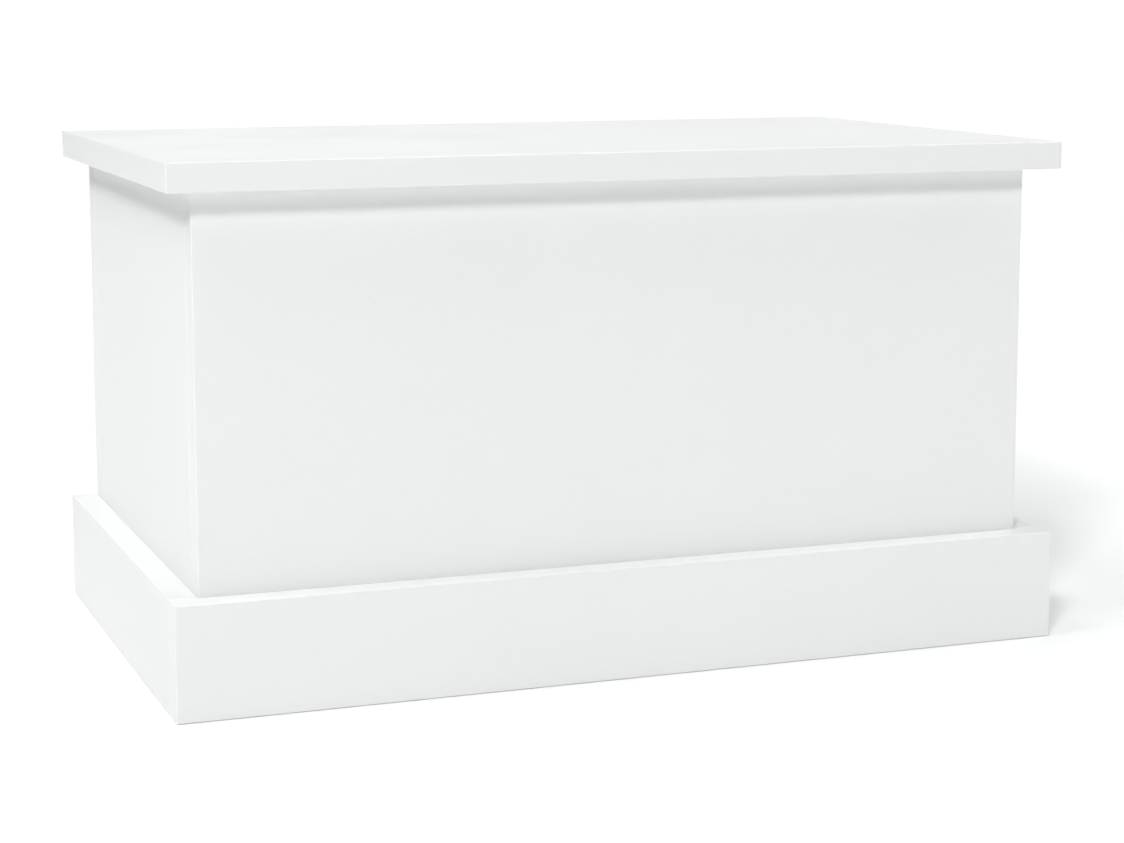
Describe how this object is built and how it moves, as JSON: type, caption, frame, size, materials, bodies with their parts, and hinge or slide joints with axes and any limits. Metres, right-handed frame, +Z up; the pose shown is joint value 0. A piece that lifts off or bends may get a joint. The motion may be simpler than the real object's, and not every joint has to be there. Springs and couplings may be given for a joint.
{
  "type": "toy box",
  "caption": "White laminated-board toy chest on a plinth, with an overhanging rear-hinged lid held open by a slotted stay.",
  "frame": {"origin": "on the floor, under the middle of the chest's bounding box", "axes": "+X to the right-hand side seen from the front, +Y to the back where the hinges are, +Z up"},
  "size_m": [0.5, 0.305, 0.28],
  "materials": {
    "white_laminate": "satin white melamine on board",
    "nickel_plate": "satin nickel plate",
    "zinc_plate": "bright zinc plate",
    "beech": "raw beech",
    "soft_plastic": "soft clear-white plastic"
  },
  "bodies": {
    "box": {"back_panel": "white_laminate", "bottom_panel": "white_laminate", "bottom_screw_left_front": "zinc_plate", "bottom_screw_left_rear": "zinc_plate", "bottom_screw_right_front": "zinc_plate", "bottom_screw_right_rear": "zinc_plate", "cam_bolt_left_lower": "zinc_plate", "cam_bolt_left_upper": "zinc_plate", "cam_bolt_right_lower": "zinc_plate", "cam_bolt_right_upper": "zinc_plate", "cam_lock_left_lower": "zinc_plate", "cam_lock_left_upper": "zinc_plate", "cam_lock_right_lower": "zinc_plate", "cam_lock_right_upper": "zinc_plate", "corner_dowel_left_lower": "beech", "corner_dowel_left_upper": "beech", "corner_dowel_right_lower": "beech", "corner_dowel_right_upper": "beech", "front_panel": "white_laminate", "front_plinth": "white_laminate", "hinge_screw_left_body_a": "nickel_plate", "hinge_screw_left_body_b": "nickel_plate", "hinge_screw_right_body_a": "nickel_plate", "hinge_screw_right_body_b": "nickel_plate", "left_hinge_body_leaf": "nickel_plate", "left_hinge_pin": "nickel_plate", "left_lid_bumper": "soft_plastic", "left_plinth": "white_laminate", "left_side_panel": "white_laminate", "plinth_screw_front_left": "zinc_plate", "plinth_screw_front_right": "zinc_plate", "plinth_screw_left_front": "zinc_plate", "plinth_screw_left_rear": "zinc_plate", "plinth_screw_right_front": "zinc_plate", "plinth_screw_right_rear": "zinc_plate", "rear_screw_left_lower": "zinc_plate", "rear_screw_left_upper": "zinc_plate", "rear_screw_right_lower": "zinc_plate", "rear_screw_right_upper": "zinc_plate", "right_hinge_body_leaf": "nickel_plate", "right_hinge_pin": "nickel_plate", "right_lid_bumper": "soft_plastic", "right_plinth": "white_laminate", "right_side_panel": "white_laminate", "stay_side_plate": "zinc_plate", "stay_side_screw_front": "nickel_plate", "stay_side_screw_rear": "nickel_plate", "stay_stud": "nickel_plate"},
    "lid": {"hinge_screw_left_lid_a": "nickel_plate", "hinge_screw_left_lid_b": "nickel_plate", "hinge_screw_right_lid_a": "nickel_plate", "hinge_screw_right_lid_b": "nickel_plate", "left_hinge_lid_leaf": "nickel_plate", "lid_panel": "white_laminate", "right_hinge_lid_leaf": "nickel_plate", "stay_lid_bracket": "zinc_plate", "stay_lid_screw_front": "nickel_plate", "stay_lid_screw_rear": "nickel_plate", "stay_pivot_rivet": "nickel_plate"},
    "stay_arm": {"stay_arm": "zinc_plate"}
  },
  "joints": [
    {"name": "lid_hinge", "type": "hinge", "parent": "box", "child": "lid", "pos_m": [0, 0.15, 0.26375], "axis": [-1, 0, 0], "range_deg": [0, 100]},
    {"name": "stay_arm_pivot", "type": "hinge", "parent": "lid", "child": "stay_arm", "pos_m": [0.21655, 0.06088, 0.25122], "axis": [-1, 0, 0], "range_deg": [-50, 0]}
  ],
  "couplings": [
    {"joint": "stay_arm_pivot", "follows": "lid_hinge", "ratio": -0.5}
  ]
}
